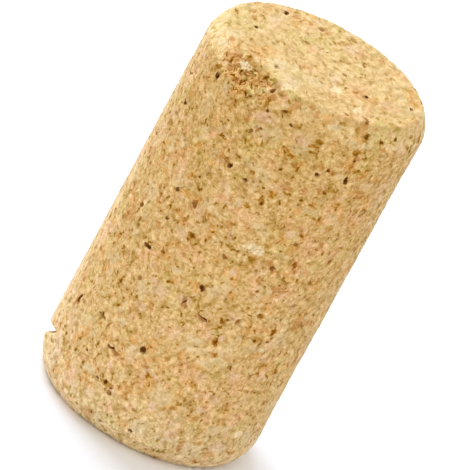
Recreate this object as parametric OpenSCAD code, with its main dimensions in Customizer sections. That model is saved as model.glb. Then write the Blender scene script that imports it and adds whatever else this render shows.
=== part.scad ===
// Cork stopper, standing on its lower end.
// It is one piece: a straight cylinder pressed from cork granules, with
// bevelled ends, open pores and cracks between the granules, a stretch of
// the upper rim that has crumbled, and a chip broken from the foot.
// Angles run anticlockwise from +X, seen from above.

/* [Body] */
// Diameter of the cylinder
body_d = 24; // [20:0.5:30]
// Length from end to end
body_l = 42; // [34:0.5:60]

/* [Upper end] */
// Width of the upper bevel, along the radius
top_bevel_w = 1.3; // [0.8:0.1:2.4]
// Height of the upper bevel
top_bevel_h = 2.4; // [1.4:0.1:4]
// How far the upper bevel bows out past a straight cone
top_bevel_bow = 0.2; // [0.1:0.05:0.3]
// Radius of the worn edge between the upper bevel and the end face
top_edge_r = 0.4; // [0.2:0.05:0.6]

/* [Lower end] */
// Width of the lower bevel, along the radius
foot_bevel_w = 1.4; // [0.8:0.1:2.4]
// Height of the lower bevel
foot_bevel_h = 2.8; // [1.4:0.1:4]
// How far the lower bevel bows out past a straight cone
foot_bevel_bow = 0.3; // [0.1:0.05:0.35]
// Radius of the worn edge between the lower bevel and the end face
foot_edge_r = 0.3; // [0.2:0.05:0.6]

/* [Pores] */
// Number of small pores scattered over the side
side_pores = 58; // [0:1:120]
// Number of small pores scattered over each end face
end_pores = 11; // [0:1:20]
// Width of the smallest pore
pore_min = 0.3; // [0.3:0.05:0.5]
// Width of the largest scattered pore
pore_max = 0.6; // [0.55:0.05:1.2]
// Width of a large pore
large_pore_w = 0.45; // [0.35:0.05:0.7]
// Depth of a pore below the surface
pore_deep = 0.45; // [0.3:0.05:1.2]
// Furthest that a pore leans from square to the surface, in degrees
pore_lean = 16; // [0:1:25]
// Length of each of the two limbs of a crack between granules
crack_l = 0.7; // [0.4:0.05:0.9]
// Width of a crack
crack_w = 0.3; // [0.2:0.05:0.5]
// Depth of a crack
crack_deep = 0.4; // [0.3:0.05:0.8]
// Seed of the scatter
scatter_seed = 7; // [1:1:50]

/* [Crumbled rim] */
// Angle at the middle of the crumbled stretch of the upper rim
crumble_at = 240; // [200:1:320]
// Arc that the crumbled stretch covers, in degrees
crumble_arc = 44; // [20:1:70]
// Width of a granule that has come away
crumb_w = 1.2; // [0.9:0.1:2.2]
// How deep a lost granule leaves its pit
crumb_deep = 0.35; // [0.2:0.05:0.5]
// Furthest that a pit leans from square to the rubbed flat, in degrees
crumb_lean = 12; // [0:1:20]
// How far the rim is rubbed down at the middle of the stretch
rub_deep = 0.35; // [0.1:0.05:1]
// Slant of the rubbed flat from level, in degrees
rub_slant = 52; // [40:1:65]

/* [Chip] */
// Angle at the middle of the chip in the foot
chip_at = 181; // [160:1:200]
// Height of the deepest line of the chip above the end face, at its middle
chip_z = 2.7; // [2.2:0.1:5]
// Height of the chip's mouth
chip_h = 1.3; // [0.8:0.1:2.4]
// Depth of the chip
chip_deep = 1.2; // [0.5:0.1:2]
// Slope of the chip along the side, in degrees
chip_slope = 23; // [0:1:35]

/* [Hidden] */
$fn = 96;

body_r = body_d / 2;
top_face_r = body_r - top_bevel_w;
foot_face_r = body_r - foot_bevel_w;

// Cutters start this far outside the surface that they open
clear = 0.5;

// Turn from one pore of an end face to the next
GOLDEN_ANGLE = 137.508;

// Steps of an even scatter over a strip, round it and along it, in shares
SCATTER_STEP = [0.754878, 0.569840];

// Least distance from the middle of a scattered pore to any other opening
spacing = 1.2 * pore_max + 2 * crack_l;
// Scattered pores stay this many degrees off the ends of the crumbled stretch
END_SLACK = 8;
// Half the arc that the chip covers, and how far it climbs from its middle
chip_half_arc = acos(1 - chip_deep / body_r) + END_SLACK;
chip_rise = body_r * sin(chip_half_arc) * tan(chip_slope) + chip_h;

CRUMB_ROWS = 4;
CRUMB_CORNERS = 5;
LARGE_PORE_CORNERS = 6;
LARGE_PORE_LEAN = 8;

// Large pores, each as its angle, its height as a share of the body's length,
// its width and its length in large pore widths, and its turn from upright
LARGE_PORES = [
    [223, 0.920, 1.1, 1.4, 10],
    [210, 0.800, 0.9, 1.1, 0],
    [253, 0.770, 0.9, 1.1, 60],
    [263, 0.760, 0.9, 1.1, 30],
    [307, 0.860, 1.1, 1.4, 0],
    [292, 0.850, 0.9, 1.5, 80],
    [275, 0.730, 0.9, 1.3, 30],
    [295, 0.585, 1.1, 1.6, 60],
    [235, 0.635, 0.8, 1.0, 0],
    [237, 0.560, 0.9, 1.3, 45],
    [236, 0.473, 0.9, 1.9, 80],
    [270, 0.466, 1.1, 1.8, 35],
    [259, 0.252, 1.2, 1.6, 20],
    [272, 0.055, 0.9, 1.4, 10],
    [245, 0.120, 0.9, 1.1, 0],
    [250, 0.130, 0.8, 1.4, 10],
    [254, 0.112, 0.8, 1.1, 40],
];

// Cracks, each as its angle, its share of the body's length, its limbs' length
// in crack lengths, the first limb's turn from upright and the bend to the second
CRACKS = [
    [210, 0.230, 1.1, -20, 35],
    [231, 0.257, 1.0, 40, 25],
    [265, 0.410, 1.0, 10, 50],
    [276, 0.397, 1.0, 70, 25],
    [265, 0.955, 1.3, 85, 12],
    [302, 0.450, 0.9, 30, -40],
    [247, 0.205, 0.9, 50, 40],
];

// Large pores of the upper face, each as its place, in shares of the face's
// radius, its width and its length in large pore widths, and its turn from +X
TOP_PORES = [
    [[-0.73, -0.02], 1.1, 1.5, 120],
    [[-0.55, 0.64], 1.1, 1.8, 90],
    [[0.47, -0.24], 0.9, 1.3, 85],
    [[0.56, -0.71], 1.1, 1.8, 130],
];

// Points along an arc, from one angle to another
function arc(centre, r, from, to, steps) =
    [for (i = [0:1:steps]) let (a = from + (to - from) * i / steps) centre + r * [cos(a), sin(a)]];

// Outline of one end, with its face at y = 0: the worn edge, then the bevel,
// which bows out on an arc as far as the side
function end_outline(bevel_w, bevel_h, bow, edge_r) =
    let (
        chord = norm([bevel_w, bevel_h]),
        bow_r = (chord * chord / 4 + bow * bow) / (2 * bow),
        middle = [body_r - bevel_w / 2, bevel_h / 2],
        bow_centre = middle + (bow_r - bow) * [-bevel_h, bevel_w] / chord,
        edge_x = bow_centre.x + sqrt(pow(bow_r - edge_r, 2) - pow(bow_centre.y - edge_r, 2)),
        meet = atan2(edge_r - bow_centre.y, edge_x - bow_centre.x),
        side = atan2(bevel_h - bow_centre.y, body_r - bow_centre.x),
        bow_arc = arc(bow_centre, bow_r, meet, side, 6)
    )
    concat(arc([edge_x, edge_r], edge_r, -90, meet, 4), [for (i = [1:1:6]) bow_arc[i]]);

module blank() {
    foot = end_outline(foot_bevel_w, foot_bevel_h, foot_bevel_bow, foot_edge_r);
    top = end_outline(top_bevel_w, top_bevel_h, top_bevel_bow, top_edge_r);
    rotate_extrude()
        polygon(concat(
            [[0, 0]],
            foot,
            [for (i = [len(top) - 1:-1:0]) [top[i].x, body_l - top[i].y]],
            [[0, body_l]]
        ));
}

// Puts a cutter whose mouth faces +Z on the side, pointing out of the body.
// A turn of 0 leaves its long way upright.
module on_side(angle, z, turn = 0)
    rotate(angle) translate([body_r, 0, z]) rotate([0, 90, 0]) rotate(turn) children();

// Outline of a granule, an uneven polygon. Its corners lie on an oval, each
// drawn in or out by its own share.
function granule_outline(width, length, corners, seed) =
    let (reach = rands(0.7, 1.2, corners, seed))
    [for (k = [0:1:corners - 1]) let (a = 360 * k / corners)
        [length / 2 * reach[k] * cos(a), width / 2 * reach[k] * sin(a)]];

// The hole left by a granule, a leaning prism
module pore(width, length, corners, lean, seed)
    rotate([0, lean, 0]) translate([0, 0, -pore_deep]) linear_extrude(pore_deep + clear)
        polygon(granule_outline(width, length, corners, seed));

// A crack, two narrow limbs that meet at an angle
module crack(limb, bend)
    for (second = [0, 1])
        rotate(second * bend) translate([second ? -crack_w / 3 : -limb, -crack_w / 2, -crack_deep])
            cube([limb, crack_w, crack_deep + clear]);

module large_pore(width_share, length_share, seed)
    pore(large_pore_w * width_share, large_pore_w * length_share, LARGE_PORE_CORNERS, LARGE_PORE_LEAN, seed);

module placed_pores() {
    for (p = LARGE_PORES)
        on_side(p[0], p[1] * body_l, p[4]) large_pore(p[2], p[3], scatter_seed + p[0]);
    for (c = CRACKS)
        on_side(c[0], c[1] * body_l, c[3]) crack(crack_l * c[2], c[4]);
    for (p = TOP_PORES)
        translate([p[0].x * top_face_r, p[0].y * top_face_r, body_l])
            rotate(p[3]) large_pore(p[1], p[2], scatter_seed + p[3]);
}

// A scattered width: small ones are more common
function scattered_width(share) = pore_min + (pore_max - pore_min) * pow(share, 2.5);

// One scattered pore, drawn from its own seed. Its mouth faces +Z.
module scattered_pore(seed) {
    draw = rands(0, 1, 4, seed);
    width = scattered_width(draw[0]);
    rotate(180 * draw[1])
        pore(width, width * (1 + draw[2]), 5 + floor(3 * draw[2]), pore_lean * (2 * draw[3] - 1), seed);
}

// The part of a number after its whole part
function fraction(x) = x - floor(x);

// Degrees between two directions, the shorter way round
function turn_between(a, b) = abs((a - b + 540) % 360 - 180);

// Whether an angle is off the crumbled stretch of the rim
function is_off_crumbles(angle) = turn_between(angle, crumble_at) > crumble_arc / 2 + END_SLACK;

// Whether a spot on the side is clear of the other pores and cracks, the
// crumbled rim and the chip
function is_side_clear(angle, z) =
    min([for (p = concat(LARGE_PORES, CRACKS))
        norm([turn_between(angle, p[0]) * PI / 180 * body_r, z - p[1] * body_l])]) > spacing
    && (is_off_crumbles(angle) || z < body_l - top_bevel_h - spacing)
    && (turn_between(angle, chip_at) > chip_half_arc || z > chip_z + chip_rise + spacing);

// Whether a spot on the upper face is clear in the same way
function is_top_clear(angle, radius) =
    min([for (p = TOP_PORES) norm(radius * [cos(angle), sin(angle)] - top_face_r * p[0])]) > spacing
    && (is_off_crumbles(angle) || radius < top_face_r - rub_deep - spacing);

module scattered_pores() {
    low = foot_bevel_h + pore_max;
    high = body_l - top_bevel_h - pore_max;
    for (i = [0:1:side_pores - 1]) {
        angle = 360 * fraction(i * SCATTER_STEP[0]);
        z = low + (high - low) * fraction(i * SCATTER_STEP[1]);
        if (is_side_clear(angle, z)) on_side(angle, z) scattered_pore(scatter_seed * 1000 + i);
    }
    for (top = [0, 1], i = [0:1:end_pores - 1]) {
        angle = (i * GOLDEN_ANGLE) % 360;
        radius = ((top ? top_face_r : foot_face_r) - pore_max) * sqrt((i + 0.5) / end_pores);
        if (!top || is_top_clear(angle, radius))
            rotate(angle) translate([radius, 0, top ? body_l : 0])
                rotate([top ? 0 : 180, 0, 0]) scattered_pore(scatter_seed * 1000 + 500 + 100 * top + i);
    }
}

// The pit left by one lost granule, an uneven one that widens from its floor.
// Its mouth faces +Z.
module crumb(width, lean, seed) {
    deep = crumb_deep * width / crumb_w;
    floor_share = 0.5;
    mouth_share = floor_share + (1 - floor_share) * (deep + clear) / deep;
    rotate([0, lean, 0]) translate([0, 0, -deep])
        linear_extrude(deep + clear, scale = mouth_share / floor_share)
            polygon(floor_share * granule_outline(width, 1.2 * width, CRUMB_CORNERS, seed));
}

// The worn stretch of the upper rim, rubbed down to a slanting flat, with
// granules gone from it in rows that run from the end face down the bevel
module crumbled_rim() {
    per_row = ceil(top_face_r * crumble_arc * PI / 180 / (0.7 * crumb_w));
    rotate(crumble_at) translate([top_face_r - rub_deep, 0, body_l]) rotate([0, rub_slant, 0])
        translate([-body_r, -body_r, 0]) cube(body_d);
    for (row = [0:1:CRUMB_ROWS - 1], i = [0:1:per_row - 1]) {
        seed = scatter_seed * 1000 + 800 + 50 * row + i;
        draw = rands(-1, 1, 5, seed);
        down = row / (CRUMB_ROWS - 1) + 0.15 * draw[0];
        around = (i + 0.5 + 0.4 * draw[1]) / per_row - 0.5;
        // The pits are smaller towards the ends of the stretch
        width = crumb_w * (0.9 + 0.35 * draw[2]) * (1 - 0.7 * abs(around));
        radius = top_face_r - rub_deep * (1 - 2 * abs(around)) + down * top_bevel_w;
        rotate(crumble_at + crumble_arc * around) translate([radius, 0, body_l - 0.7 * down * top_bevel_h])
            rotate([0, rub_slant, 0]) rotate(180 * draw[3])
                crumb(width, crumb_lean * draw[4], seed);
    }
}

// The chip, a sloping notch with a sharp inner edge. Granules are gone from
// its lips on both sides of the middle.
module chip() {
    run = 4 * sqrt(body_r * chip_deep);
    reach = chip_deep + clear;
    mouth_slope = chip_h / 2 / chip_deep;
    rotate(chip_at) translate([body_r - chip_deep, 0, chip_z]) rotate([chip_slope, 0, 0]) {
        rotate([90, 0, 0]) linear_extrude(run, center = true)
            polygon([[0, 0], [reach, mouth_slope * reach], [reach, -mouth_slope * reach]]);
        for (along = [-0.7, -0.45, 0.4, 0.65], lip = [-1, 1]) {
            y = along * sqrt(2 * body_r * chip_deep) + 0.2 * lip * chip_h;
            depth = chip_deep - y * y / body_d;
            translate([depth, y, lip * mouth_slope * depth]) rotate([0, 90, 0])
                crumb(crumb_w * (1 - 0.4 * abs(along)), 0, scatter_seed + 10 * along + lip);
        }
    }
}

module stopper() {
    color("burlywood")
        difference() {
            blank();
            placed_pores();
            scattered_pores();
            crumbled_rim();
            chip();
        }
}

stopper();
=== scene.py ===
import math

import bpy
import numpy as np
from bpy.props import FloatProperty, FloatVectorProperty, IntProperty, PointerProperty
from mathutils import Matrix, Vector


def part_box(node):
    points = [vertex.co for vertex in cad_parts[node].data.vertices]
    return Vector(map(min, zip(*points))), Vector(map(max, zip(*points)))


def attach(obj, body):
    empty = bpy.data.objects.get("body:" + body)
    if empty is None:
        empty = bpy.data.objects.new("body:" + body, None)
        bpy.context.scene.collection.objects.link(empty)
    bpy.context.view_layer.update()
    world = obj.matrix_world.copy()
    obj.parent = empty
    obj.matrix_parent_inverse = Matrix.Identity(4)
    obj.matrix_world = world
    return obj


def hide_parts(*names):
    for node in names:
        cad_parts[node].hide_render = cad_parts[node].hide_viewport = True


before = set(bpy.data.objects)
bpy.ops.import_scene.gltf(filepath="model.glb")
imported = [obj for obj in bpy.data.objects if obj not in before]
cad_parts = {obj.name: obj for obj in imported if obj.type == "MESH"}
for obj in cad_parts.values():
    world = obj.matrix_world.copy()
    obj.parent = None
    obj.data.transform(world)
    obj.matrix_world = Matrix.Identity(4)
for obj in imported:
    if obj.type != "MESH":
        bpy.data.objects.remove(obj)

bl_info = {
    "name": "Cork Stopper",
    "version": (1, 0, 0),
    "blender": (4, 5, 0),
    "location": "3D View > Sidebar > Cork",
    "description": "Gives a stopper of pressed cork granules its surface, its finish and a plain studio",
    "category": "Object",
}

MM = 0.001
NODE = "stopper"
BOX_LOW, BOX_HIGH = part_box(NODE)
BODY_R = (BOX_HIGH.x - BOX_LOW.x) / 2
BODY_H = BOX_HIGH.z - BOX_LOW.z

# Single granules and patches that stand out, by the name of their tone. On the
# side each is placed by its angle from +X, in degrees, and its height, on the
# upper face by X and Y, all in millimetres. Then come its length, its width and
# its turn from level, or from +X, in degrees.
SIDE_MARKS = {
    "amber": [
        (274.5, 30.8, 1.0, 0.8, 80), (269, 29.7, 0.7, 0.8, 60), (306, 16.6, 1.1, 0.9, 20),
        (302, 19.2, 1.1, 0.6, -20), (251, 5.4, 2.0, 0.7, 10), (207, 30.8, 1.4, 0.7, 20),
        (264.5, 40.3, 1.3, 0.5, 15), (306.8, 40.9, 1.6, 0.8, 20), (304.5, 39.3, 1.2, 0.7, 0),
        (316.8, 40.7, 1.1, 0.6, -10), (326.7, 41.0, 0.9, 0.5, 0), (339, 40.1, 1.5, 0.5, 0),
        (245, 41.6, 1.0, 0.7, 0), (238, 41.7, 1.0, 0.5, 0), (254.5, 40.0, 1.1, 0.5, -65),
        (301.5, 41.3, 1.0, 0.6, 0), (285, 39.1, 1.1, 0.6, 5), (220.5, 39.5, 1.2, 0.6, 30),
        (292.5, 41.5, 1.0, 0.5, 0), (283, 38.4, 0.9, 0.6, 20), (341, 41.0, 1.0, 0.4, 0),
        (310, 37.4, 1.2, 0.8, 0), (351, 40.4, 1.6, 0.8, 0), (2, 41.0, 1.2, 0.7, 0),
        (14, 40.8, 1.4, 0.8, 0), (346, 36.5, 1.0, 0.7, 0), (31, 41.2, 1.2, 0.7, 0),
        (55, 41.0, 1.3, 0.6, 0),
    ],
    "rust": [
        (293.2, 24.9, 1.6, 0.7, -40), (289.6, 13.7, 1.0, 0.9, 0), (297, 36.6, 1.5, 0.6, -30),
        (313, 28.5, 1.3, 0.6, -35), (283.5, 33.3, 0.8, 0.5, 0), (300.5, 22.6, 0.7, 0.6, 0),
        (226, 40.1, 1.0, 0.5, 0), (249, 41.3, 0.8, 0.6, 0), (303.5, 41.8, 1.2, 0.4, 0),
        (319, 40.0, 1.2, 0.5, -20), (212, 41.8, 1.4, 0.5, 0), (278, 41.3, 0.9, 0.7, 80),
        (235, 22.5, 1.1, 0.7, 0), (249, 37.4, 0.9, 0.8, 90), (297.5, 2.9, 1.8, 0.8, 90),
        (275, 41.7, 0.8, 0.5, 0), (266, 27.0, 1.0, 0.7, 90), (223, 41.3, 2.0, 1.0, 10),
        (267, 41.2, 1.4, 0.9, 60), (208, 38.7, 1.4, 0.6, 25),
    ],
    "orange": [
        (305.7, 37.5, 1.4, 0.7, 0), (305, 30.8, 1.0, 0.9, 0), (292, 31.4, 1.2, 0.9, 90),
        (247.3, 20.4, 0.9, 0.8, 0), (266, 19.6, 2.0, 0.7, 0), (256, 18.7, 1.0, 0.8, 0),
        (276, 12.2, 1.4, 0.8, -60), (253, 10.9, 1.2, 0.7, 0), (224, 8.0, 1.3, 0.8, 0),
        (214, 29.4, 1.5, 0.7, 20), (238, 28.8, 1.0, 0.8, 90), (325, 36.5, 1.5, 0.7, -20),
        (325, 23.4, 1.8, 0.8, -10), (313.5, 34.8, 1.3, 0.7, -20), (315, 2.6, 2.0, 0.8, 0),
        (278.3, 36.5, 0.8, 0.6, 0), (246.7, 27.3, 0.9, 0.7, 80), (285, 41.4, 1.6, 0.8, 0),
        (304, 40.6, 1.6, 0.8, 0), (288, 9.6, 1.1, 0.7, 80), (206, 1.2, 1.8, 0.5, 0),
        (213, 0.9, 1.2, 0.4, 0), (233.5, 32.0, 1.0, 0.7, 80), (216.8, 14.3, 1.6, 0.6, 20),
        (227, 3.8, 1.6, 0.9, 0), (221.5, 27.1, 1.2, 0.9, 0), (251, 9.0, 1.0, 0.5, 0),
    ],
    "rose": [
        (256.8, 29.0, 1.2, 1.0, 30), (237.7, 33.9, 1.6, 0.7, 35), (203, 27.3, 2.0, 0.6, 20),
        (277.7, 8.6, 0.8, 0.7, 0), (208, 7.4, 2.4, 0.6, 35), (313, 25.0, 1.3, 0.7, -60),
    ],
    "olive": [(231, 33.0, 1.6, 0.8, 10)],
    "grey": [
        (265, 29.5, 1.5, 0.7, 80), (238, 27.5, 1.7, 0.5, 30), (255, 19.9, 1.4, 0.7, 20),
        (288, 12.4, 2.4, 0.7, 0), (278.3, 14.3, 2.2, 0.6, 10), (239, 5.4, 1.8, 0.9, 0),
        (243, 11.7, 1.2, 1.0, 0), (313, 15.5, 1.6, 0.6, 0), (289.5, 40.9, 1.8, 0.6, 10),
        (285, 2.9, 0.7, 0.6, 0), (204, 29.0, 2.0, 0.7, 20), (296, 16.2, 1.1, 0.8, 0),
        (309, 40.1, 1.3, 0.6, 0), (209, 41.0, 2.0, 0.8, 0), (301.5, 40.0, 1.5, 0.6, 0),
    ],
    "lilac": [
        (269.7, 25.9, 1.2, 0.9, 90), (278.3, 22.6, 0.9, 0.8, 0), (294.4, 28.8, 1.1, 1.0, 0),
        (247.3, 17.6, 1.2, 0.6, 0), (248, 7.2, 1.0, 0.7, 90), (297.4, 7.4, 1.1, 0.9, 0),
        (289, 15.5, 1.0, 0.6, 90), (205, 38.6, 2.0, 0.7, 10), (223, 31.0, 1.3, 0.7, 0),
        (211.5, 4.9, 1.6, 0.8, -30), (286, 5.0, 0.9, 0.8, 0), (275.5, 5.8, 1.2, 0.8, 90),
        (278, 38.4, 1.2, 0.8, 0), (248.5, 32.0, 1.2, 1.1, 0), (257, 38.7, 2.6, 1.3, 20),
    ],
    "cream": [(327, 5.2, 1.6, 0.8, 0)],
    "ivory": [(282.8, 25.9, 2.7, 1.15, -3), (231.0, 41.2, 1.7, 0.75, 5)],
}
TOP_MARKS = {
    "amber": [(1.3, 9.0, 1.2, 0.9, 90)],
    "rust": [
        (-4.8, 7.2, 1.0, 0.9, 90), (-3.3, 7.4, 1.0, 0.8, 90), (6.2, -8.8, 2.0, 0.9, 80),
        (-8.4, 1.7, 1.6, 0.9, 90), (-8.8, 3.3, 1.2, 0.7, 80), (9.3, 2.6, 1.5, 0.9, -70),
        (4.0, -2.4, 1.6, 1.1, 90), (4.8, 7.6, 1.2, 0.9, 90),
    ],
    "orange": [(9.2, 1.2, 1.0, 0.8, 90), (-7.5, 5.6, 1.5, 0.7, 60), (6.6, 6.4, 1.5, 0.8, -20)],
    "rose": [(-1.2, 7.6, 1.2, 0.9, 90), (-2.0, 1.6, 1.8, 1.3, 90), (8.3, -1.8, 1.8, 0.9, 90)],
    "grey": [(-2.6, -4.3, 1.6, 1.1, 90)],
    "cream": [(-2.4, -9.8, 2.0, 1.3, 0), (2.1, -4.5, 2.4, 1.1, 80), (4.9, -6.8, 2.0, 0.9, 80)],
}
# Pits and cracks that are dark to the bottom, placed in the same way
SIDE_PITS = [
    (223, 38.7, 0.8, 1.0, 0), (210, 33.6, 0.9, 0.4, 10), (253, 32.3, 0.8, 0.5, 60),
    (262.5, 32.0, 0.8, 0.4, 30), (307, 36.0, 0.6, 1.0, 0), (291.5, 35.8, 0.9, 0.4, -20),
    (274.5, 30.6, 0.5, 0.4, 0), (295, 24.6, 0.8, 0.4, 0), (234.6, 26.7, 0.7, 0.6, 45),
    (237, 23.6, 0.8, 0.5, 20), (234.8, 19.9, 1.2, 0.5, 0), (269.2, 19.7, 0.9, 0.6, -60),
    (258.5, 10.6, 0.9, 0.6, 80), (264, 40.3, 0.9, 0.4, 15), (272, 2.3, 0.6, 0.5, 0),
    (316.8, 40.7, 0.7, 0.4, 0), (305, 38.5, 0.9, 0.8, 80), (326.7, 41.0, 0.7, 0.4, 0),
    (245.5, 39.6, 0.5, 0.5, 0), (253, 41.1, 0.6, 0.4, 0), (269.5, 39.4, 0.6, 0.5, 0),
    (256.5, 39.4, 0.5, 0.5, 0), (295.5, 36.6, 0.6, 0.5, 0), (258, 37.5, 0.5, 0.4, 0),
    (245, 41.6, 0.6, 0.5, 0), (275.5, 37.8, 1.0, 0.5, 90), (307.5, 41.0, 1.0, 0.6, 20),
    (305.5, 16.4, 0.5, 0.4, 0), (313, 16.5, 0.6, 0.4, 0), (265, 17.3, 0.9, 0.25, 60),
    (277, 16.7, 1.3, 0.25, -10), (231, 10.8, 1.3, 0.3, 0), (209.5, 9.6, 1.3, 0.3, 75),
    (243, 8.8, 1.0, 0.35, -10), (245.5, 5.2, 0.5, 0.5, 0), (250, 5.4, 0.5, 0.5, 0),
    (254, 5.2, 0.5, 0.4, 0), (301, 12.8, 0.8, 0.3, -60), (328, 30.0, 1.0, 0.3, -40),
]
TOP_PITS = [
    (-7.8, -0.2, 1.0, 0.5, 80), (-5.9, 6.9, 1.2, 0.6, 90), (5.0, -2.6, 1.0, 0.5, 80),
    (6.3, -8.2, 1.2, 0.5, 80), (9.5, 0.4, 0.8, 0.5, 90), (-4.2, -6.6, 0.9, 0.4, 80),
    (9.2, -8.4, 0.7, 0.5, 90),
]
# How far in from the side and down from the upper face their marks still reach
SIDE_REACH = 1.6
TOP_REACH = 1.0

# Sizes of the granules in millimetres, from the finest, and the share of each
# coarser size that has stayed whole
GRANULES = [(0.45, 1.0), (0.8, 0.45), (1.5, 0.25)]
# How far a granule's outline wanders, in millimetres
GRANULE_WANDER = 0.9
# Shares of X, Y and Z at which the upper face looks up its pattern, and how far
# that pattern wanders down over the edge, in millimetres
TOP_SHARES = (0.85, 0.5, 1)
TOP_WANDER = 0.8
TOP_EDGE = BODY_H / MM - 0.1
# Distances from a granule's edge between which its gap deepens, in millimetres,
# and the steps off the middle of a noise between which a crack does
GAP_FADE = (0.13, 0.02)
CRACK_FADE = (0.035, 0.005)
# Far enough away for noise to be unlike the noise here
FAR_AWAY = (40, 0, 0)
# Distance between small pits and the radius of the largest, in millimetres,
# and the share of that distance over which one deepens
PIT_SPREAD = 1.0
PIT_R = 0.26
PIT_SLOPE = 0.12
# Length of the waves in the whole surface, in millimetres
WAVE_L = 7.0
# The crumbled stretch of the rim: its middle and its arc, in degrees, and how
# far it reaches down and in from the edge, in millimetres
CRUMBLE_AT = 236
CRUMBLE_ARC = 46
CRUMBLE_H = 3.6
CRUMBLE_W = 2.2
# Corners of the solid that are closer than this are one corner
MERGE_WITHIN = 0.001 * MM
# Space left under the foot, which is more than the thinning of the mesh moves it
FOOT_CLEAR = 0.02 * MM

# Tones of the patches, the draw from which each starts, the rise to its
# greatest share, and that share
PATCH_TONES = ["rose", "olive", "grey", "orange", "lilac", "rust"]
PATCH_FROM = [0.54, 0.54, 0.55, 0.56, 0.58, 0.60]
PATCH_RISE = 0.15
PATCH_SHARES = [0.8, 0.8, 0.7, 0.85, 0.65, 0.7]
# The pale flat granules and the marks show less of the grain and the strokes
CALM_TONES = ("grey", "lilac")
CALM_SHARE = 0.4
# So does the upper face, and the crumbled stretch shows more of them
FACE_CALM = 0.27
CRUMB_LIFT = 0.8

# Steps of lightness, as shares of the whole scale from black to white: between
# granules, of the grain in them and of broad clouds
LEVEL_STEP = 0.06
GRAIN_STEP = 0.44
CLOUD_STEP = 0.11
# Pale flecks and threads, seams, gaps, gaps in the crumbled stretch, and pits
FLECK_STEP = 0.06
THREAD_STEP = 0.08
SEAM_STEP = 0.02
GAP_STEP = 0.08
CRUMB_GAP_STEP = 0.22
PIT_STEP = 0.12
# What those steps are multiplied by in red, green and blue
LIGHT_TINT = (1.0, 1.03, 1.10)
# Short dark strokes in red, green and blue, and the share of them that broad
# brown spots add
STROKE_STEP = (0.285, 0.322, 0.395)
BROWN_SHARE = 0.35
# Steps in red, green and blue all over; on the upper face, a painted sheen that
# makes it paler; on the bevel of the rim and near the foot, painted light that makes
# them paler; and from the foot up to the top, painted light fading into painted shade
BASE_STEP = (0.0, 0.011, 0.014)
# Painted sheen: the upper face is made paler and whiter, as if lit brighter
PAINTED_SHEEN_FACE_STEP = (0.026, 0.044, 0.052)
# Painted light: the bevel of the rim is made paler, where the lamps light it too little
PAINTED_LIGHT_RIM_STEP = (0.05, 0.05, 0.05)
# Painted light: the foot is made paler and bluer, as if lit from the pale floor
PAINTED_BOUNCE_FOOT_STEP = (0.025, 0.055, 0.09)
# Painted light and shade: paler at the foot and darker at the top, as light from the floor fades upwards
PAINTED_LIGHT_AND_SHADE_STEP = (-0.055, -0.065, -0.08)
# Heights between which the face, the two edges of the bevel and the foot fade
# in, in millimetres
FACE_FADE = (BODY_H / MM - 3.0, BODY_H / MM - 1.0)
BEVEL_LOW_FADE = (39.4, 40.4)
BEVEL_TOP_FADE = (42.0, 41.4)
FOOT_FADE = (8.0, 0.5)
# The darkest that the steps can make a granule, and the curve of the scale
DARKEST = (0.08, 0.05, 0.03)
SCALE_CURVE = 2.2

# How much noise makes the outlines of the marks and of the crumbled stretch
# ragged, the fields between which the marks, the pits and the stretch fade in,
# and their greatest shares
MARK_RAGGED = 1.4
CRUMB_RAGGED = 1.6
MARK_FADE = (-0.05, 0.25)
PIT_FADE = (0.0, 0.35)
CRUMB_FADE = (0.0, 0.35)
MARK_SHARE = 0.95
PIT_SHARE = 0.93
CRUMB_SHARE = 0.9
# Depths between which the wall and the bottom of a pore fade in, the greatest
# share of the wall, and what is left of that in the crumbled stretch
WALL_FADE = (0.10 * MM, 0.45 * MM)
WALL_SHARE = 0.8
CRUMB_WALL_SHARE = 0.3
BOTTOM_FADE = (0.45 * MM, 1.0 * MM)

# The finish: dull, with a pale sheen where the surface turns away
ROUGHNESS = 0.6
SPECULAR = 0.03
SHEEN = 0.37
SHEEN_ROUGHNESS = 0.33
SHEEN_TINT = (1.0, 0.89, 0.64, 1.0)
BUMP_STRENGTH = 0.15
BUMP_H = 0.1 * MM

# Width of the floor in metres, its colour to the eye, and the one for the light
# that it throws back on the stopper
FLOOR_SIZE = 6
FLOOR_SEEN = (0.98, 0.98, 0.98)
FLOOR_LIT = (0.92, 0.92, 0.92)
# The lamp behind is a little blue, and the others are white
KEY_COLOUR = (0.87, 1.0, 1.25)
WHITE = (1, 1, 1)
# How far the camera aims to the right of the stopper's middle and above it
AIM_RIGHT = 0.262 * MM
AIM_UP = 0.035 * MM
# Width of the camera's sensor in millimetres, and its nearest and furthest
# sight in metres
SENSOR_WIDTH = 36
CLIP = (0.01, 10)


def length_setting(name, description, default, most, least=0):
    """A short length, given in millimetres"""
    return FloatProperty(
        name=name, description=description, default=default * MM, min=least * MM, max=most * MM,
        precision=5, unit="LENGTH")


def colour_setting(name, description, *colour):
    return FloatVectorProperty(
        name=name, description=description, subtype="COLOR", size=3, min=0, max=1, default=colour)


class CorkBodySettings(bpy.types.PropertyGroup):
    """Sizes of the surface of the body"""

    spacing: length_setting("Point Spacing", "Distance between points of the surface", 0.12, 1, 0.1)
    plateau: length_setting("Plateau Height", "How far one granule may stand above another", 0.06, 0.3)
    gap_deep: length_setting("Gap Depth", "Depth of the gaps between granules", 0.08, 0.6)
    pit_deep: length_setting("Pit Depth", "Depth of the pits where a small granule has gone", 0.2, 0.6)
    raggedness: length_setting("Raggedness", "How far the rims of the pores wander", 0.2, 0.4)
    waviness: length_setting("Waviness", "How far the surface wanders from a true cylinder", 0.12, 0.5)
    triangles: IntProperty(
        name="Triangles", description="Most triangles that the surface keeps", default=190000, min=20000)


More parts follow.
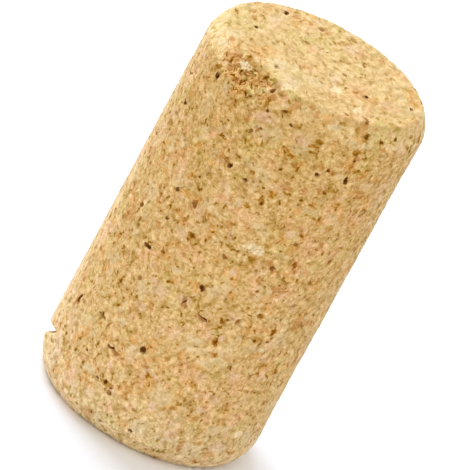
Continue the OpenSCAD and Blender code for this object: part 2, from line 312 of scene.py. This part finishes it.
class CorkFinishSettings(bpy.types.PropertyGroup):
    """Colours of the cork"""

    tan: colour_setting("Tan", "An ordinary granule", 0.73, 0.45, 0.17)
    orange: colour_setting("Orange", "A granule with some bark in it", 0.73, 0.38, 0.115)
    rose: colour_setting("Rose", "A pinkish granule", 0.78, 0.42, 0.18)
    olive: colour_setting("Olive", "A yellowish granule", 0.70, 0.465, 0.155)
    grey: colour_setting("Grey", "A pale dull granule", 0.75, 0.522, 0.25)
    lilac: colour_setting("Lilac", "A pale pinkish granule", 0.81, 0.51, 0.28)
    cream: colour_setting("Cream", "A pale granule", 0.90, 0.63, 0.33)
    ivory: colour_setting("Ivory", "The palest granules", 0.95, 0.73, 0.43)
    rust: colour_setting("Rust", "A granule of reddish bark", 0.61, 0.285, 0.08)
    amber: colour_setting("Amber", "A granule of brown bark", 0.44, 0.20, 0.02)
    gap: colour_setting("Gap", "The wall of a pore", 0.50, 0.22, 0.03)
    hollow: colour_setting("Hollow", "The bottom of a deep pit", 0.15, 0.04, 0.001)


class CorkStageSettings(bpy.types.PropertyGroup):
    """Camera, lamps and floor"""

    elevation: FloatProperty(
        name="Elevation", description="Height of the camera above the horizon",
        default=math.radians(23.4), subtype="ANGLE", unit="ROTATION")
    roll: FloatProperty(
        name="Roll", description="How far the camera leans, which leans the stopper to the right",
        default=0.50, subtype="ANGLE", unit="ROTATION")
    distance: FloatProperty(
        name="Distance", description="Distance from the camera to the middle of the stopper",
        default=0.85, unit="LENGTH")
    lens: FloatProperty(
        name="Lens", description="Focal length of the camera", default=654.3, unit="CAMERA")
    key: FloatProperty(
        name="Key Lamp", description="Power of the lamp behind on the left", default=6.6, unit="POWER")
    front: FloatProperty(
        name="Front Lamp", description="Power of the low lamp in front", default=2.2, unit="POWER")
    top: FloatProperty(
        name="Top Lamp", description="Power of the lamp overhead", default=0.8, unit="POWER")
    sky: FloatProperty(
        name="Sky", description="Strength of the light from all round", default=0.67)


class Graph:
    """Adds nodes to a tree and joins them. A value is a socket, a number or a tuple."""

    def __init__(self, tree):
        self.tree = tree
        tree.nodes.clear()

    def add(self, kind, inputs=(), **settings):
        node = self.tree.nodes.new(kind)
        for name, value in settings.items():
            setattr(node, name, value)
        for key, value in dict(inputs).items():
            if isinstance(value, bpy.types.NodeSocket):
                self.tree.links.new(value, node.inputs[key])
            else:
                node.inputs[key].default_value = value
        return node

    def math(self, operation, *values):
        return self.add("ShaderNodeMath", enumerate(values), operation=operation).outputs[0]

    def vector(self, operation, *values):
        return self.add("ShaderNodeVectorMath", enumerate(values), operation=operation).outputs[0]

    def plus(self, base, value, factor):
        """The base, and the value times the factor on top"""
        return self.math("MULTIPLY_ADD", value, factor, base)

    def scaled(self, vector, factor):
        inputs = {0: vector, "Scale": factor}
        return self.add("ShaderNodeVectorMath", inputs, operation="SCALE").outputs[0]

    def split(self, vector):
        return self.add("ShaderNodeSeparateXYZ", {0: vector}).outputs

    def rise(self, value, low, high, start=0.0, end=1.0):
        """Goes smoothly from start to end while the value goes from low to high"""
        inputs = {"Value": value, "From Min": low, "From Max": high, "To Min": start, "To Max": end}
        return self.add("ShaderNodeMapRange", inputs, interpolation_type="SMOOTHSTEP").outputs[0]

    def choose(self, factor, a, b):
        """Goes from number a to number b with the factor"""
        return self.add("ShaderNodeMix", {0: factor, 2: a, 3: b}, data_type="FLOAT").outputs[0]

    def choose_vector(self, factor, a, b):
        return self.add("ShaderNodeMix", {0: factor, 4: a, 5: b}, data_type="VECTOR").outputs[1]

    def colour(self, factor, a, b):
        """Goes from colour a to colour b with the factor"""
        a, b = ((*c, 1) if isinstance(c, tuple) and len(c) == 3 else c for c in (a, b))
        return self.add("ShaderNodeMix", {0: factor, 6: a, 7: b}, data_type="RGBA").outputs[2]

    def noise(self, place, size, detail=2.0, output="Fac"):
        """Noise whose lumps are about this many millimetres across"""
        inputs = {"Vector": place, "Scale": 1 / size, "Detail": detail}
        return self.add("ShaderNodeTexNoise", inputs).outputs[output]

    def swing(self, place, size, detail=2.0):
        """Noise about 0, from -0.5 to 0.5"""
        return self.math("SUBTRACT", self.noise(place, size, detail), 0.5)

    def shift(self, place, size, detail=2.0):
        """Noise about 0 in all three directions"""
        return self.vector("SUBTRACT", self.noise(place, size, detail, "Color"), (0.5, 0.5, 0.5))

    def nudged(self, place, size, reach):
        """A place that noise moves by up to this many millimetres"""
        return self.vector("ADD", place, self.scaled(self.noise(place, size, 2.0, "Color"), reach))

    def cells(self, place, size, feature="F1", output="Color"):
        inputs = {"Vector": place, "Scale": 1 / size}
        return self.add("ShaderNodeTexVoronoi", inputs, feature=feature).outputs[output]

    def stored(self, name, output="Fac"):
        """What the points of the surface keep under this name"""
        return self.add("ShaderNodeAttribute", attribute_name=name).outputs[output]


def pattern_place(graph, place):
    """Where to look up the pattern for a place in millimetres. The upper face
    has its own, in which the granules lie longer from front to back"""
    wander = graph.math("MULTIPLY", graph.noise(place, 1.0), TOP_WANDER)
    above = graph.math("ADD", graph.split(place)[2], wander)
    is_top = graph.math("GREATER_THAN", above, TOP_EDGE)
    return graph.choose_vector(is_top, place, graph.vector("MULTIPLY", place, TOP_SHARES))


def granule_pattern(graph, place):
    """Granules pressed together, from a place in millimetres. Gives three
    random numbers for each granule, the distance to its edge in millimetres,
    and, both from 0 to 1, the gaps beside it and the small pits where others
    have fallen out"""
    bent = graph.vector("ADD", place, graph.scaled(graph.shift(place, 1.0, 3.0), GRANULE_WANDER))
    tone, edge = None, None
    for size, kept in GRANULES:
        own_tone = graph.cells(bent, size)
        own_edge = graph.math("MULTIPLY", graph.cells(bent, size, "DISTANCE_TO_EDGE", "Distance"), size)
        if tone is None:
            tone, edge = own_tone, own_edge
            continue
        whole = graph.math("LESS_THAN", graph.split(own_tone)[0], kept)
        tone = graph.choose_vector(whole, tone, own_tone)
        edge = graph.choose(whole, edge, own_edge)
    # Most granules are pressed tight. The gaps come in short runs.
    runs = graph.rise(graph.noise(place, 0.6, 1.0), 0.46, 0.60)
    gap = graph.math("MULTIPLY", graph.rise(edge, *GAP_FADE), runs)
    line = graph.math("ABSOLUTE", graph.swing(bent, 0.8, 3.0))
    other_runs = graph.rise(graph.noise(graph.vector("ADD", place, FAR_AWAY), 0.8, 1.0), 0.52, 0.60)
    crack = graph.math("MULTIPLY", graph.rise(line, *CRACK_FADE), other_runs)
    gap = graph.math("MAXIMUM", gap, crack)
    jagged = graph.nudged(place, 0.3, 0.6)
    spot = graph.add("ShaderNodeTexVoronoi", {"Vector": jagged, "Scale": 1 / PIT_SPREAD}).outputs
    reach = graph.math("MULTIPLY", graph.split(spot["Color"])[1], PIT_R / PIT_SPREAD)
    pit = graph.rise(graph.math("SUBTRACT", spot["Distance"], reach), 0.0, -PIT_SLOPE)
    return tone, edge, gap, pit


def relief_group(settings):
    """Nodes that set the granules of a surface in and out, and keep how deep
    each point lies below the whole body"""
    tree = bpy.data.node_groups.new("Cork relief", "GeometryNodeTree")
    tree.interface.new_socket("Geometry", in_out="INPUT", socket_type="NodeSocketGeometry")
    tree.interface.new_socket("Geometry", in_out="OUTPUT", socket_type="NodeSocketGeometry")
    graph = Graph(tree)
    body = graph.add("NodeGroupInput").outputs[0]
    hull = graph.add("GeometryNodeConvexHull", {0: body}).outputs[0]
    deep = graph.add("GeometryNodeProximity", {0: hull}, target_element="FACES").outputs["Distance"]
    inputs = {"Geometry": body, "Name": "deep", "Value": deep}
    kept = graph.add("GeometryNodeStoreNamedAttribute", inputs, data_type="FLOAT", domain="POINT")
    position = graph.add("GeometryNodeInputPosition").outputs[0]
    place = pattern_place(graph, graph.scaled(position, 1 / MM))
    tone, _, gap, pit = granule_pattern(graph, place)
    height = graph.math("MULTIPLY", graph.swing(place, WAVE_L, 1.0), 2 * settings.waviness)
    height = graph.plus(height, graph.split(tone)[2], -settings.plateau)
    height = graph.plus(height, gap, -settings.gap_deep)
    height = graph.plus(height, pit, -settings.pit_deep)
    normal = graph.add("GeometryNodeInputNormal").outputs[0]
    # Points also shift along the surface, which makes the rims of the pores ragged
    shift = graph.scaled(graph.shift(place, 0.45), 2 * settings.raggedness)
    outwards = graph.add("ShaderNodeVectorMath", {0: shift, 1: normal}, operation="DOT_PRODUCT")
    height = graph.math("SUBTRACT", height, outwards.outputs["Value"])
    offset = graph.vector("ADD", shift, graph.scaled(normal, height))
    # The foot stays flat where it stands, a hair above the floor
    target = graph.vector("MAXIMUM", graph.vector("ADD", position, offset), (-1, -1, FOOT_CLEAR))
    moved = graph.add("GeometryNodeSetPosition", {"Geometry": kept.outputs[0], "Position": target})
    graph.add("NodeGroupOutput", {0: moved.outputs[0]})
    return tree


def deselect_all():
    bpy.ops.object.select_all(action="DESELECT")


def copy_of_node(name):
    """A merged copy of the fixed node, alone selected and active"""
    deselect_all()
    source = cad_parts[NODE]
    source.select_set(True)
    bpy.context.view_layer.objects.active = source
    bpy.ops.object.duplicate()
    piece = bpy.context.view_layer.objects.active
    piece.name = piece.data.name = name
    bpy.ops.object.mode_set(mode="EDIT")
    bpy.ops.mesh.select_all(action="SELECT")
    bpy.ops.mesh.remove_doubles(threshold=MERGE_WITHIN)
    bpy.ops.object.mode_set(mode="OBJECT")
    return piece


def apply_modifier(piece, kind, **settings):
    modifier = piece.modifiers.new(kind.title(), kind)
    for name, value in settings.items():
        setattr(modifier, name, value)
    bpy.ops.object.modifier_apply(modifier=modifier.name)


def shape_body(settings):
    piece = copy_of_node("cork_body")
    apply_modifier(piece, "REMESH", mode="VOXEL", voxel_size=settings.spacing, use_smooth_shade=True)
    apply_modifier(piece, "NODES", node_group=relief_group(settings))
    triangles = sum(len(face.vertices) - 2 for face in piece.data.polygons)
    apply_modifier(piece, "DECIMATE", ratio=min(1, settings.triangles / triangles))
    bpy.ops.object.shade_smooth()
    return piece


def ellipse_field(across, along, mark):
    """1 at the middle of a mark, 0 at its edge and below 0 outside"""
    length, width, turn = mark[2:]
    turn = math.radians(turn)
    u = across * math.cos(turn) + along * math.sin(turn)
    v = along * math.cos(turn) - across * math.sin(turn)
    return 1 - np.hypot(u / (length / 2), v / (width / 2))


def turn_between(a, b):
    """Degrees from direction b to direction a, from -180 to 180"""
    return (a - b + 180) % 360 - 180


def paint_marks(piece, settings):
    """Keeps on each point the tone of the nearest mark, with its field as
    alpha, the field of the nearest pit, and that of the crumbled stretch"""
    mesh = piece.data
    place = np.empty(len(mesh.vertices) * 3)
    mesh.vertices.foreach_get("co", place)
    x, y, z = place.reshape(-1, 3).T / MM
    angle = np.degrees(np.arctan2(y, x))
    radius, height = BODY_R / MM, BODY_H / MM
    on_side = np.hypot(x, y) > radius - SIDE_REACH
    on_top = z > height - TOP_REACH

    def side_field(mark):
        field = ellipse_field(np.radians(turn_between(angle, mark[0])) * radius, z - mark[1], mark)
        return np.where(on_side, field, -1)

    def top_field(mark):
        return np.where(on_top, ellipse_field(x - mark[0], y - mark[1], mark), -1)

    paint = np.full((len(x), 4), -1.0)
    paint[:, :3] = settings.tan
    pit = np.full(len(x), -1.0)
    for marks, pits, field_of in ((SIDE_MARKS, SIDE_PITS, side_field), (TOP_MARKS, TOP_PITS, top_field)):
        for name, places in marks.items():
            for mark in places:
                field = field_of(mark)
                nearer = field > paint[:, 3]
                paint[nearer, :3] = getattr(settings, name)
                paint[nearer, 3] = field[nearer]
        for mark in pits:
            pit = np.maximum(pit, field_of(mark))
    around = turn_between(angle, CRUMBLE_AT) / (CRUMBLE_ARC / 2)
    down = (height - z) / CRUMBLE_H
    inwards = (radius - np.hypot(x, y)) / CRUMBLE_W
    crumbled = 1 - np.sqrt(around**2 + down**2 + inwards**2)
    mesh.attributes.new("mark", "FLOAT_COLOR", "POINT").data.foreach_set("color", paint.ravel())
    mesh.attributes.new("pit", "FLOAT", "POINT").data.foreach_set("value", pit)
    mesh.attributes.new("crumbled", "FLOAT", "POINT").data.foreach_set("value", crumbled)


def granule_colour(graph, place, ragged, crumbled, settings):
    """The colour before its lightness is set, and how calm the surface is"""
    # The tone changes from patch to patch
    patch = graph.nudged(place, 0.8, 0.6)
    draws = [*graph.split(graph.noise(patch, 2.6, 1.5, "Color"))]
    draws += graph.split(graph.noise(patch, 1.8, 1.5, "Color"))
    colour = tuple(settings.tan)
    calm = 0.0
    for draw, name, least, most in zip(draws, PATCH_TONES, PATCH_FROM, PATCH_SHARES):
        share = graph.rise(draw, least, least + PATCH_RISE, 0.0, most)
        colour = graph.colour(share, colour, tuple(getattr(settings, name)))
        if name in CALM_TONES:
            calm = graph.math("MAXIMUM", calm, share)

    # The crumbled rim shows the brown inside of the granules
    is_orange = graph.rise(graph.noise(place, 0.9), 0.42, 0.52)
    is_olive = graph.rise(graph.noise(patch, 1.0), 0.52, 0.58)
    crumb = graph.colour(is_orange, tuple(settings.rust), tuple(settings.orange))
    crumb = graph.colour(is_olive, crumb, tuple(settings.olive))
    colour = graph.colour(graph.math("MULTIPLY", crumbled, CRUMB_SHARE), colour, crumb)

    inside = graph.plus(graph.stored("mark", "Alpha"), ragged, MARK_RAGGED)
    inside = graph.rise(inside, *MARK_FADE, 0.0, MARK_SHARE)
    colour = graph.colour(inside, colour, graph.stored("mark", "Color"))
    return colour, graph.math("MAXIMUM", calm, inside)


def light_and_strokes(graph, place, pattern, crumbled):
    """How much lighter each spot is, in even steps to the eye, and where its
    short dark strokes lie"""
    tone, edge, gap, pit = pattern
    light = graph.plus(-LEVEL_STEP / 2, graph.split(tone)[0], LEVEL_STEP)
    light = graph.plus(light, graph.swing(place, 0.6, 1.0), GRAIN_STEP)
    light = graph.plus(light, graph.swing(place, 2.5), CLOUD_STEP)
    inputs = {"Vector": place, "Scale": 1 / 0.56, "Detail": 2.0, "Distortion": 0.3}
    swirl = graph.add("ShaderNodeTexNoise", inputs).outputs[0]
    brown = graph.rise(graph.noise(place, 1.1, 3.0), 0.56, 0.70)
    stroke = graph.plus(graph.rise(swirl, 0.58, 0.74), brown, BROWN_SHARE)
    light = graph.plus(light, graph.rise(swirl, 0.46, 0.34), FLECK_STEP)
    ridge = graph.math("ABSOLUTE", graph.swing(place, 0.6))
    light = graph.plus(light, graph.rise(ridge, 0.05, 0.0), THREAD_STEP)
    light = graph.plus(light, graph.rise(edge, 0.2, 0.0), -SEAM_STEP)
    gap_step = graph.choose(crumbled, GAP_STEP, CRUMB_GAP_STEP)
    light = graph.math("SUBTRACT", light, graph.math("MULTIPLY", gap, gap_step))
    return graph.plus(light, pit, -PIT_STEP), stroke


def cork_material(settings):
    material = bpy.data.materials.new("Pressed cork")
    material.use_nodes = True
    graph = Graph(material.node_tree)
    place = pattern_place(graph, graph.scaled(graph.add("ShaderNodeTexCoord").outputs["Object"], 1 / MM))
    pattern = granule_pattern(graph, place)
    ragged = graph.swing(place, 0.5, 3.0)
    crumbled = graph.rise(graph.plus(graph.stored("crumbled"), ragged, CRUMB_RAGGED), *CRUMB_FADE)
    colour, calm = granule_colour(graph, place, ragged, crumbled, settings)
    light, stroke = light_and_strokes(graph, place, pattern, crumbled)

    # The steps are added on a scale that is even to the eye
    even = graph.add("ShaderNodeGamma", {0: colour, 1: 1 / SCALE_CURVE}).outputs[0]
    up = graph.split(place)[2]
    face = graph.rise(up, *FACE_FADE)
    strength = graph.plus(graph.choose(face, 1.0, 1 - FACE_CALM), crumbled, CRUMB_LIFT)
    strength = graph.math("MULTIPLY", strength, graph.plus(1.0, calm, -CALM_SHARE))
    marked = graph.vector("SUBTRACT", graph.scaled(LIGHT_TINT, light), graph.scaled(STROKE_STEP, stroke))
    even = graph.vector("ADD", even, graph.scaled(marked, strength))
    even = graph.vector("ADD", even, BASE_STEP)
    bevel = graph.math("MULTIPLY", graph.rise(up, *BEVEL_LOW_FADE), graph.rise(up, *BEVEL_TOP_FADE))
    foot = graph.rise(up, *FOOT_FADE)
    along = graph.math("SUBTRACT", graph.math("DIVIDE", up, BODY_H / MM), 0.5)
    # Painted sheen on the upper face, painted light on the bevel and near the foot, and painted light at
    # the foot fading to painted shade at the top
    for step, share in ((PAINTED_SHEEN_FACE_STEP, face), (PAINTED_LIGHT_RIM_STEP, bevel), (PAINTED_BOUNCE_FOOT_STEP, foot), (PAINTED_LIGHT_AND_SHADE_STEP, along)):
        even = graph.vector("ADD", even, graph.scaled(step, share))
    even = graph.vector("MAXIMUM", even, DARKEST)
    colour = graph.add("ShaderNodeGamma", {0: even, 1: SCALE_CURVE}).outputs[0]

    deep = graph.stored("deep")
    wall = graph.rise(deep, *WALL_FADE, 0.0, WALL_SHARE)
    wall = graph.math("MULTIPLY", wall, graph.rise(crumbled, 0.0, 1.0, 1.0, CRUMB_WALL_SHARE))
    colour = graph.colour(wall, colour, tuple(settings.gap))
    bottom = graph.rise(graph.plus(graph.stored("pit"), ragged, MARK_RAGGED), *PIT_FADE, 0.0, PIT_SHARE)
    bottom = graph.math("MAXIMUM", bottom, graph.rise(deep, *BOTTOM_FADE))
    colour = graph.colour(bottom, colour, tuple(settings.hollow))

    height = graph.plus(graph.math("MULTIPLY", graph.split(pattern[0])[2], 0.3), stroke, -0.5)
    height = graph.plus(height, graph.noise(place, 0.5, 1.0), 0.3)
    bump = graph.add("ShaderNodeBump", {"Height": height, "Strength": BUMP_STRENGTH, "Distance": BUMP_H})
    shader = graph.add("ShaderNodeBsdfPrincipled", {
        "Base Color": colour, "Roughness": ROUGHNESS, "Specular IOR Level": SPECULAR,
        "Sheen Weight": SHEEN, "Sheen Roughness": SHEEN_ROUGHNESS, "Sheen Tint": SHEEN_TINT,
        "Normal": bump.outputs[0]})
    graph.add("ShaderNodeOutputMaterial", {0: shader.outputs[0]})
    return material


class CORK_OT_make_body(bpy.types.Operator):
    """Makes the body's surface from the fixed solid, with its granules and gaps"""

    bl_idname = "cork.make_body"
    bl_label = "Make Cork Body"

    def execute(self, context):
        settings = context.scene.cork_body
        piece = shape_body(settings)
        paint_marks(piece, context.scene.cork_finish)
        piece.data.materials.clear()
        piece.data.materials.append(cork_material(context.scene.cork_finish))
        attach(piece, "root")
        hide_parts(NODE)
        return {"FINISHED"}


def seen_straight(graph):
    """1 for the eye, also in a reflection or through something clear, and 0
    for the light that a surface throws back"""
    path = graph.add("ShaderNodeLightPath").outputs
    through = graph.math("MAXIMUM", path["Is Glossy Ray"], path["Is Transmission Ray"])
    return graph.math("MAXIMUM", path["Is Camera Ray"], through)


def plain_material(name, seen, lit):
    """A matt finish with one colour to the eye and another for the light it throws back"""
    material = bpy.data.materials.new(name)
    material.use_nodes = True
    graph = Graph(material.node_tree)
    colour = graph.colour(seen_straight(graph), lit, seen)
    shader = graph.add("ShaderNodeBsdfDiffuse", {"Color": colour})
    graph.add("ShaderNodeOutputMaterial", {0: shader.outputs[0]})
    return material


def add_floor():
    bpy.ops.mesh.primitive_plane_add(size=FLOOR_SIZE, location=(0, 0, 0))
    floor = bpy.context.view_layer.objects.active
    floor.name = "floor"
    floor.data.materials.append(plain_material("Pale floor", FLOOR_SEEN, FLOOR_LIT))


def add_lamp(name, power, towards, distance, size, colour=WHITE):
    """A square soft lamp that shines at the middle of the stopper"""
    middle = Vector((0, 0, BODY_H / 2))
    towards = Vector(towards).normalized()
    bpy.ops.object.light_add(type="AREA", location=middle + towards * distance)
    lamp = bpy.context.view_layer.objects.active
    lamp.name = name
    lamp.rotation_euler = towards.to_track_quat("Z", "Y").to_euler()
    lamp.data.size = size
    lamp.data.energy = power
    lamp.data.color = colour


def pale_room(sky):
    """A world that looks white and lights the stopper with the given strength"""
    world = bpy.data.worlds.new("Pale room")
    world.use_nodes = True
    graph = Graph(world.node_tree)
    strength = graph.choose(seen_straight(graph), sky, 1.0)
    background = graph.add("ShaderNodeBackground", {"Color": (*WHITE, 1), "Strength": strength})
    graph.add("ShaderNodeOutputWorld", {0: background.outputs[0]})
    return world


def add_camera(settings):
    back = Vector((0, -math.cos(settings.elevation), math.sin(settings.elevation)))
    level = Vector((1, 0, 0))
    upright = back.cross(level)
    turn, lean = math.cos(settings.roll), math.sin(settings.roll)
    right = level * turn + upright * lean
    up = upright * turn - level * lean
    aim = Vector((0, 0, BODY_H / 2)) + right * AIM_RIGHT + up * AIM_UP
    place = Matrix((right, up, back)).transposed().to_4x4()
    place.translation = aim + back * settings.distance
    bpy.ops.object.camera_add()
    camera = bpy.context.view_layer.objects.active
    camera.matrix_world = place
    camera.data.lens = settings.lens
    camera.data.sensor_width = SENSOR_WIDTH
    camera.data.clip_start, camera.data.clip_end = CLIP
    return camera


class CORK_OT_make_stage(bpy.types.Operator):
    """Sets up the camera, the soft lamps and a plain pale floor"""

    bl_idname = "cork.make_stage"
    bl_label = "Make Stage"

    def execute(self, context):
        settings = context.scene.cork_stage
        deselect_all()
        add_floor()
        add_lamp("key_lamp", settings.key, towards=(-0.68, 0.79, 0.7), distance=0.8, size=0.6,
                 colour=KEY_COLOUR)
        add_lamp("front_lamp", settings.front, towards=(0.05, -1.0, 0.1), distance=0.9, size=0.8)
        add_lamp("top_lamp", settings.top, towards=(0.2, -0.1, 1.0), distance=0.9, size=0.6)
        context.scene.world = pale_room(settings.sky)
        context.scene.view_settings.view_transform = "Standard"
        context.scene.camera = add_camera(settings)
        return {"FINISHED"}


class CORK_PT_panel(bpy.types.Panel):
    """Lists what the add-on makes and its settings"""

    bl_idname = "CORK_PT_panel"
    bl_label = "Cork Stopper"
    bl_space_type = "VIEW_3D"
    bl_region_type = "UI"
    bl_category = "Cork"

    def draw(self, context):
        for operator in OPERATORS:
            self.layout.operator(operator.bl_idname)
        for name in SETTINGS:
            group = getattr(context.scene, name)
            for prop in group.__annotations__:
                self.layout.prop(group, prop)


OPERATORS = [CORK_OT_make_body, CORK_OT_make_stage]
SETTINGS = {
    "cork_body": CorkBodySettings,
    "cork_finish": CorkFinishSettings,
    "cork_stage": CorkStageSettings,
}


def register():
    for item in [*SETTINGS.values(), *OPERATORS, CORK_PT_panel]:
        bpy.utils.register_class(item)
    for name, group in SETTINGS.items():
        setattr(bpy.types.Scene, name, PointerProperty(type=group))


def unregister():
    for name in SETTINGS:
        delattr(bpy.types.Scene, name)
    for item in reversed([*SETTINGS.values(), *OPERATORS, CORK_PT_panel]):
        bpy.utils.unregister_class(item)


def main():
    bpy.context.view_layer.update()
    register()
    bpy.ops.cork.make_body()
    bpy.ops.cork.make_stage()


if __name__ == "__main__":
    main()
